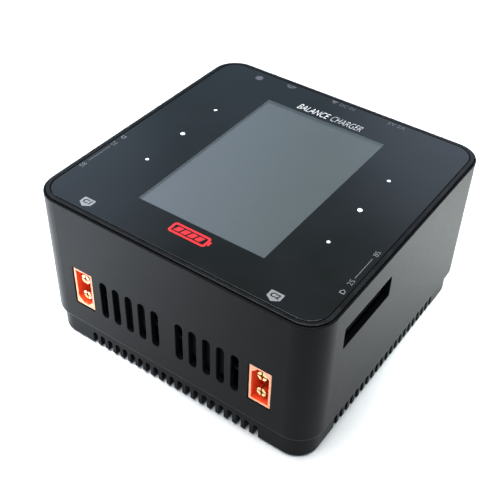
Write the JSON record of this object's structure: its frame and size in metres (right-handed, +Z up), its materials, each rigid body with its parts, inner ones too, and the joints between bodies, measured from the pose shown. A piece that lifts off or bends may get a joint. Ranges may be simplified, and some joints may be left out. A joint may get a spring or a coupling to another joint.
{
  "type": "balance battery charger",
  "caption": "Square desktop balance charger for model batteries: vented case on a comb-slotted base, glossy touch glass over a display, keyed power outputs and side balance sockets.",
  "frame": {"origin": "middle of the footprint, on the surface that the rubber feet stand on", "axes": "+X to the right along the front face, +Y from the front face to the back, +Z up through the glass. The front face holds the outputs and the fan vents."},
  "size_m": [0.11, 0.11, 0.0615],
  "materials": {
    "case_plastic": "satin moulded, dark charcoal",
    "bezel_gloss": "polished black",
    "black_glass": "tempered, printed black round a clear window",
    "adhesive": "double-sided foam tape",
    "display_glass": "matt polariser, switched off",
    "clear_acrylic": "moulded light guide, dotted underneath",
    "lamp_epoxy": "moulded lamp packages",
    "steel_sheet": "stamped",
    "circuit_board": "solder mask over laminate",
    "conductive_foam": "soft",
    "steel_screw": "zinc plated, darkened",
    "brass_standoff": "turned",
    "flex_film": "polyimide film",
    "grey_ribbon": "flat ribbon",
    "ivory_nylon": "moulded",
    "black_nylon": "moulded",
    "orange_nylon": "moulded, slightly translucent",
    "gold_contact": "gold plated",
    "red_silicone": "insulation over stranded copper",
    "sintered_bronze": "oil filled",
    "copper_winding": "enamelled",
    "steel_shaft": "ground",
    "aluminium_fin": "extruded",
    "thermal_gum": "soft pad",
    "chip_epoxy": "moulded",
    "capacitor_sleeve": "sleeved can",
    "foot_rubber": "moulded"
  },
  "bodies": {
    "case": {"backlight_lamps": "lamp_epoxy", "balance_header_left": "black_nylon", "balance_header_right": "black_nylon", "balance_pins_left": "gold_contact", "balance_pins_right": "gold_contact", "board_standoffs": "brass_standoff", "bottom_cover": "case_plastic", "bulk_capacitors": "capacitor_sleeve", "buzzer": "chip_epoxy", "cable_sockets": "ivory_nylon", "case_screws": "steel_screw", "control_board": "circuit_board", "control_board_screws": "steel_screw", "control_chips": "chip_epoxy", "cover_glass": "black_glass", "display_board": "circuit_board", "display_cable": "flex_film", "display_frame": "steel_sheet", "display_panel": "display_glass", "display_screws": "steel_screw", "fan_bearing_left": "sintered_bronze", "fan_bearing_right": "sintered_bronze", "fan_frame_left": "black_nylon", "fan_frame_right": "black_nylon", "fan_screws": "steel_screw", "fan_stator_left": "copper_winding", "fan_stator_right": "copper_winding", "glass_tape": "adhesive", "heat_sink_left": "aluminium_fin", "heat_sink_right": "aluminium_fin", "light_guide": "clear_acrylic", "link_cable": "grey_ribbon", "link_sockets": "ivory_nylon", "main_board": "circuit_board", "main_housing": "case_plastic", "output_leads_left": "red_silicone", "output_leads_right": "red_silicone", "output_pins_left": "gold_contact", "output_pins_right": "gold_contact", "output_socket_left": "orange_nylon", "output_socket_right": "orange_nylon", "power_inductors": "chip_epoxy", "power_transistors": "chip_epoxy", "rubber_feet": "foot_rubber", "service_port_shell": "steel_sheet", "service_port_tongue": "black_nylon", "socket_screws": "steel_screw", "supply_pins": "gold_contact", "supply_socket": "orange_nylon", "thermal_pads": "thermal_gum", "top_bezel": "bezel_gloss", "touch_pads": "conductive_foam", "usb_contacts": "gold_contact", "usb_shell": "steel_sheet", "usb_tongue": "black_nylon"},
    "left_rotor": {"fan_rotor_left": "black_nylon", "fan_shaft_left": "steel_shaft"},
    "right_rotor": {"fan_rotor_right": "black_nylon", "fan_shaft_right": "steel_shaft"}
  },
  "joints": [
    {"name": "left_fan_spin", "type": "hinge", "parent": "case", "child": "left_rotor", "pos_m": [-0.0159, -0.048, 0.0276], "axis": [0, 1, 0], "continuous": true},
    {"name": "right_fan_spin", "type": "hinge", "parent": "case", "child": "right_rotor", "pos_m": [0.0159, -0.048, 0.0276], "axis": [0, 1, 0], "continuous": true}
  ]
}
